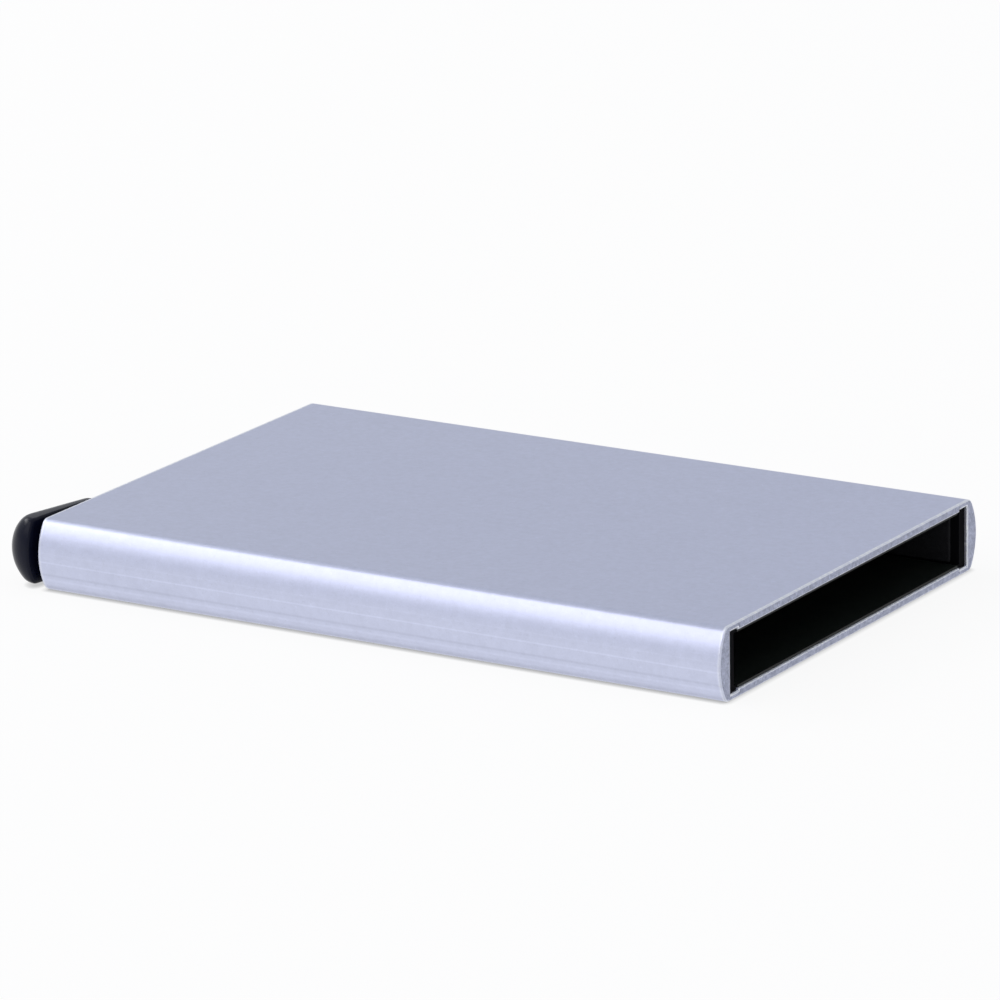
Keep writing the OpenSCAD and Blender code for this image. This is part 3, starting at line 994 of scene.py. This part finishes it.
# %% [markdown]
# ## The moulded end frame
# A mould leaves a small radius on every edge of the frame. A copy of the plain solid is merged into whole
# faces and its sharp edges are rounded, so the light runs round them.

# %% The moulded end frame
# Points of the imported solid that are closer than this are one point
COPY_WELD = 0.0001 * MM
# Faces that meet at less than the first angle are one flat face, and an edge past the second is sharp
FLAT_ANGLE, SHARP_ANGLE = 1.0, 40.0


def moulded_copy(name, new_name, radius, material):
    """A copy of a plain solid with its flat faces made whole and its sharp edges rounded."""
    mesh = NODES[name].data.copy()
    form = bmesh.new()
    form.from_mesh(mesh)
    bmesh.ops.remove_doubles(form, verts=form.verts, dist=COPY_WELD)
    bmesh.ops.dissolve_limit(form, angle_limit=math.radians(FLAT_ANGLE), verts=form.verts,
                             edges=form.edges)
    form.to_mesh(mesh)
    form.free()
    mesh.materials.clear()
    mesh.materials.append(material)
    piece = bpy.data.objects.new(new_name, mesh)
    bpy.context.scene.collection.objects.link(piece)
    round_edges(piece, radius, segments=2, angle=SHARP_ANGLE)
    smooth(piece, angle=SHARP_ANGLE)
    return piece


FRAME_PIECE = moulded_copy("end_frame", "moulded_frame", EDGE_R, FRAME_PLASTIC)
hand_over(FRAME_PIECE, "holder", "frame_plastic", "end_frame")

# %% [markdown]
# ## Floor
# The holder lies on a plain pale floor. Its white comes from what the camera and the mirrors see of it,
# and not from more light on the holder, so the metal keeps its colour. Where holder and floor touch, a thin
# contact shadow is painted into that white from an occlusion test, for the camera's rays alone. From below
# the floor is clear, so the underside can be looked at.

# %% Floor
FLOOR_SIZE = 6.0
FLOOR_TONE, FLOOR_ROUGHNESS, FLOOR_SHINE = (0.90, 0.90, 0.91, 1.0), 0.9, 0.1
PLAIN_WHITE = (1.0, 1.0, 1.0)
# How much of the floor's colour is plain white to the rays that see it; the rest takes a soft shadow
FLOOR_WHITE = 0.9
# The painted contact shadow: its reach from the holder in mm, the share of it that shows, and its rays
CONTACT_REACH, CONTACT_DEPTH, CONTACT_SAMPLES = 0.8, 0.6, 16
# The floor lies this much below the holder, in mm, so that their faces don't lie in one plane
FLOOR_DROP = 0.02


def white_light(tree, path):
    """The white that the camera sees, with a painted contact shadow where the holder touches the floor."""
    open_sky = node(tree, "ShaderNodeAmbientOcclusion", Distance=CONTACT_REACH * MM,
                    samples=CONTACT_SAMPLES)
    depth = calc(tree, "MULTIPLY", path.outputs["Is Camera Ray"], CONTACT_DEPTH)
    white = node(tree, "ShaderNodeEmission", Strength=1.0)
    tree.links.new(blend(tree, depth, PLAIN_WHITE, open_sky.outputs["Color"]), white.inputs["Color"])
    return white.outputs[0]


def mix_shaders(tree, share, first, second):
    """One shader that runs from the first to the second with the share."""
    made = tree.nodes.new("ShaderNodeMixShader")
    tree.links.new(share, made.inputs["Fac"])
    tree.links.new(first, made.inputs[1])
    tree.links.new(second, made.inputs[2])
    return made.outputs[0]


def floor_paint():
    """A matt pale floor that shows as white, and is clear from below."""
    material, tree, shader = new_material("plain_floor")
    shader.inputs["Base Color"].default_value = FLOOR_TONE
    shader.inputs["Roughness"].default_value = FLOOR_ROUGHNESS
    shader.inputs["Specular IOR Level"].default_value = FLOOR_SHINE
    path = tree.nodes.new("ShaderNodeLightPath")
    seen = path.outputs["Is Camera Ray"]
    for ray in ("Is Glossy Ray", "Is Transmission Ray"):
        seen = calc(tree, "MAXIMUM", seen, path.outputs[ray])
    share = calc(tree, "MULTIPLY", seen, FLOOR_WHITE)
    from_above = mix_shaders(tree, share, shader.outputs["BSDF"], white_light(tree, path))
    back = tree.nodes.new("ShaderNodeNewGeometry").outputs["Backfacing"]
    clear = tree.nodes.new("ShaderNodeBsdfTransparent").outputs[0]
    output = next(n for n in tree.nodes if n.type == "OUTPUT_MATERIAL")
    tree.links.new(mix_shaders(tree, back, from_above, clear), output.inputs["Surface"])
    return material


def make_floor():
    """A large plain square under the holder."""
    bpy.ops.mesh.primitive_plane_add(size=FLOOR_SIZE, location=(0.0, 0.0, -FLOOR_DROP * MM))
    floor = bpy.context.object
    floor.name = "floor"
    floor.data.materials.append(floor_paint())
    print("the floor lies below the holder by, mm:", FLOOR_DROP)


make_floor()

# %% [markdown]
# ## Light
# The world gives plain light from all sides. Metal is only as good as what it mirrors, so a large soft
# panel stands at the front left: it draws the bright band on the upper half of the near side. A smaller
# one stands beyond the lever's end and lays the soft highlight on the pad's shoulder.

# %% Light
WORLD_TONE, WORLD_STRENGTH = (0.94, 0.96, 1.0, 1.0), 0.685


def make_world():
    """Plain light from all sides."""
    world = bpy.data.worlds.new("plain")
    bpy.context.scene.world = world
    world.use_nodes = True
    tree = world.node_tree
    tree.nodes.clear()
    output = tree.nodes.new("ShaderNodeOutputWorld")
    back = node(tree, "ShaderNodeBackground", Color=WORLD_TONE, Strength=WORLD_STRENGTH)
    tree.links.new(back.outputs[0], output.inputs["Surface"])


def add_panel(name, place, aim, width, height, power, tint=(1.0, 1.0, 1.0)):
    """A soft light of a width and a height, in metres, that faces a point, with its power in watts."""
    data = bpy.data.lights.new(name, "AREA")
    data.color = tint
    data.shape = "RECTANGLE"
    data.size = width
    data.size_y = height
    data.energy = power
    panel = bpy.data.objects.new(name, data)
    bpy.context.scene.collection.objects.link(panel)
    away = Vector(place) - Vector(aim)
    panel.matrix_world = Matrix.Translation(place) @ away.to_track_quat("Z", "Y").to_matrix().to_4x4()
    print(name, "at, m:", place)


make_world()
add_panel("front_panel", place=(-0.52, -0.99, 0.82), aim=(0.0, 0.0, 0.0),
          width=1.6, height=0.97, power=5.5, tint=(1.0, 0.97, 1.0))
add_panel("shoulder_panel", place=(-1.08, 0.0, 0.62), aim=(-0.05, -0.03, 0.0),
          width=0.9, height=0.3, power=3.8)
bpy.context.scene.view_settings.view_transform = "Standard"
